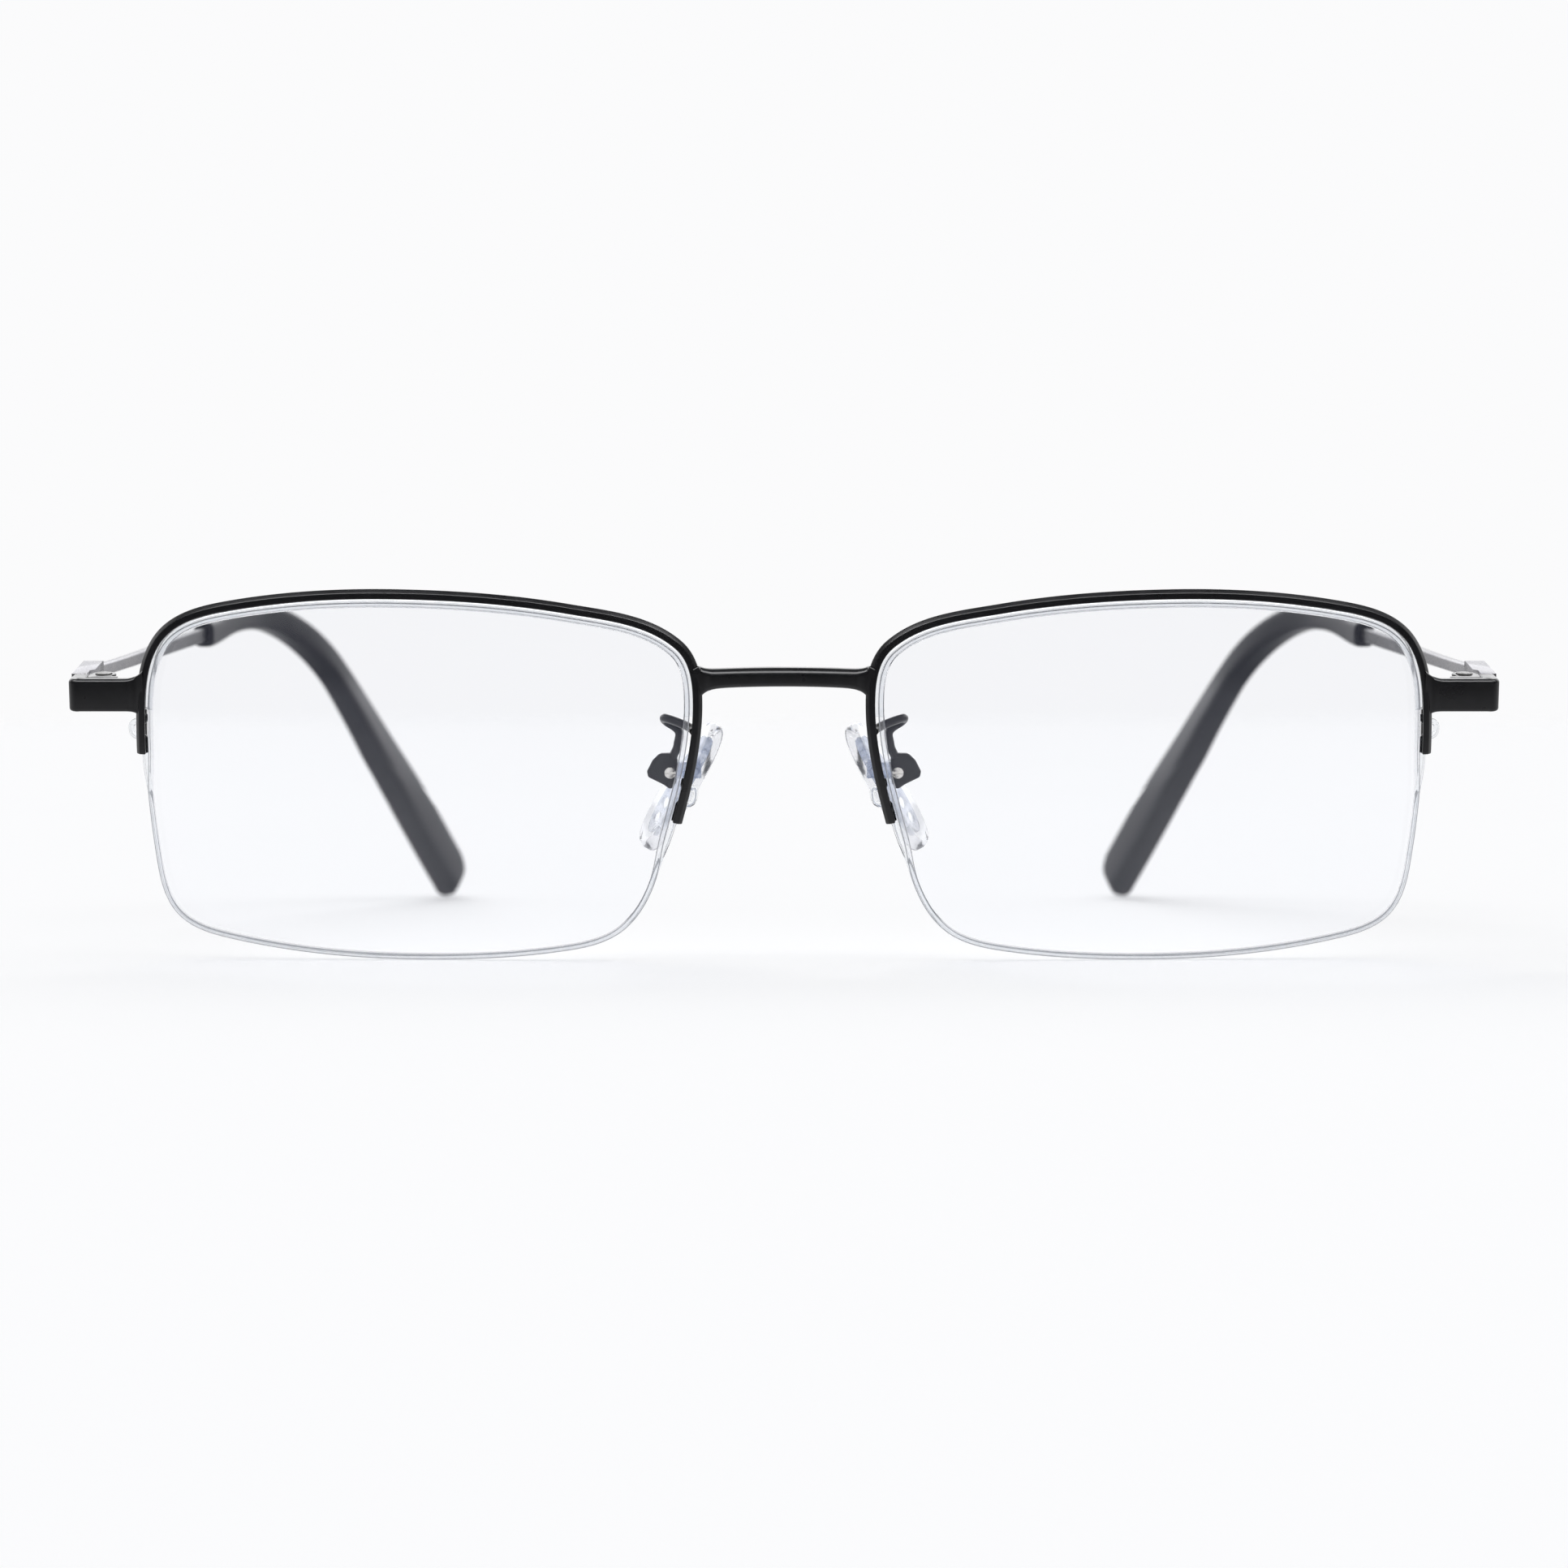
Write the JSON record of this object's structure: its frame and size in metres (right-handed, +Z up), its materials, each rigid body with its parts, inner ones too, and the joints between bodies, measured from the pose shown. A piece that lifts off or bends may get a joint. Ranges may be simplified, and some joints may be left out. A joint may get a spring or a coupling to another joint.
{
  "type": "half rim eyeglasses",
  "caption": "Half rim eyeglasses: black metal upper rims and bridge, clear lenses held by nylon cord, screwed clear nose pads, slim metal temples on spring hinges with dark plastic tips.",
  "frame": {"origin": "on the table, under the middle of the object's box, midway between the wearer's left and right", "axes": "+X towards the wearer's left, +Y back along the temples, +Z up as the glasses stand on lens edges and temple tips"},
  "size_m": [0.1414, 0.1433, 0.0376],
  "materials": {
    "black_paint": "satin",
    "lens_clear": "polished",
    "clear_nylon": "clear gloss",
    "clear_silicone": "clear satin",
    "pad_core": "satin",
    "polished_metal": "polished",
    "screw_steel": "polished",
    "grey_tip": "satin"
  },
  "bodies": {
    "front": {"bridge": "black_paint", "right_rim": "black_paint", "right_rim_liner": "clear_nylon", "right_lens": "lens_clear", "right_nylon_cord": "clear_nylon", "right_endpiece": "black_paint", "right_front_hinge": "black_paint", "right_pad_arm": "black_paint", "right_pad_screw": "screw_steel", "left_rim": "black_paint", "left_rim_liner": "clear_nylon", "left_lens": "lens_clear", "left_nylon_cord": "clear_nylon", "left_endpiece": "black_paint", "left_front_hinge": "black_paint", "left_pad_arm": "black_paint", "left_pad_screw": "screw_steel"},
    "right_nose_pad": {"right_nose_pad": "clear_silicone", "right_pad_core": "pad_core"},
    "right_hinge_pin": {"right_hinge_screw": "screw_steel"},
    "right_tongue": {"right_hinge_tongue": "screw_steel", "right_hinge_spring": "screw_steel", "right_spring_nut": "screw_steel"},
    "right_temple": {"right_hinge_housing": "polished_metal", "right_spring_stop": "screw_steel", "right_temple_bar": "polished_metal", "right_temple_tip": "grey_tip"},
    "left_nose_pad": {"left_nose_pad": "clear_silicone", "left_pad_core": "pad_core"},
    "left_hinge_pin": {"left_hinge_screw": "screw_steel"},
    "left_tongue": {"left_hinge_tongue": "screw_steel", "left_hinge_spring": "screw_steel", "left_spring_nut": "screw_steel"},
    "left_temple": {"left_hinge_housing": "polished_metal", "left_spring_stop": "screw_steel", "left_temple_bar": "polished_metal", "left_temple_tip": "grey_tip"}
  },
  "joints": [
    {"name": "right_pad_rock", "type": "hinge", "parent": "front", "child": "right_nose_pad", "pos_m": [-0.01135, -0.06097, 0.01875], "axis": [0, 0.9816, 0.1908], "range_deg": [-8, 8]},
    {"name": "right_flex", "type": "hinge", "parent": "front", "child": "right_hinge_pin", "pos_m": [-0.0675, -0.0618, 0.02666], "axis": [0, 0.1908, -0.9816], "range_deg": [-12, 0], "stiffness_Nm_per_rad": 0.3},
    {"name": "right_fold", "type": "hinge", "parent": "right_hinge_pin", "child": "right_tongue", "pos_m": [-0.0675, -0.0618, 0.02666], "axis": [0, 0.1908, -0.9816], "range_deg": [0, 80]},
    {"name": "right_spring_travel", "type": "slide", "parent": "right_tongue", "child": "right_temple", "axis": [0, 0.9816, 0.1908], "range_m": [0, 0.00065], "deforming": ["right_hinge_spring"]},
    {"name": "left_pad_rock", "type": "hinge", "parent": "front", "child": "left_nose_pad", "pos_m": [0.01135, -0.06097, 0.01875], "axis": [0, 0.9816, 0.1908], "range_deg": [-8, 8]},
    {"name": "left_flex", "type": "hinge", "parent": "front", "child": "left_hinge_pin", "pos_m": [0.0675, -0.0618, 0.02666], "axis": [0, -0.1908, 0.9816], "range_deg": [-12, 0], "stiffness_Nm_per_rad": 0.3},
    {"name": "left_fold", "type": "hinge", "parent": "left_hinge_pin", "child": "left_tongue", "pos_m": [0.0675, -0.0618, 0.02666], "axis": [0, -0.1908, 0.9816], "range_deg": [0, 84]},
    {"name": "left_spring_travel", "type": "slide", "parent": "left_tongue", "child": "left_temple", "axis": [0, 0.9816, 0.1908], "range_m": [0, 0.00065], "deforming": ["left_hinge_spring"]}
  ],
  "couplings": [
    {"joint": "right_spring_travel", "follows": "right_flex", "m_per_rad": -0.003},
    {"joint": "left_spring_travel", "follows": "left_flex", "m_per_rad": -0.003}
  ]
}
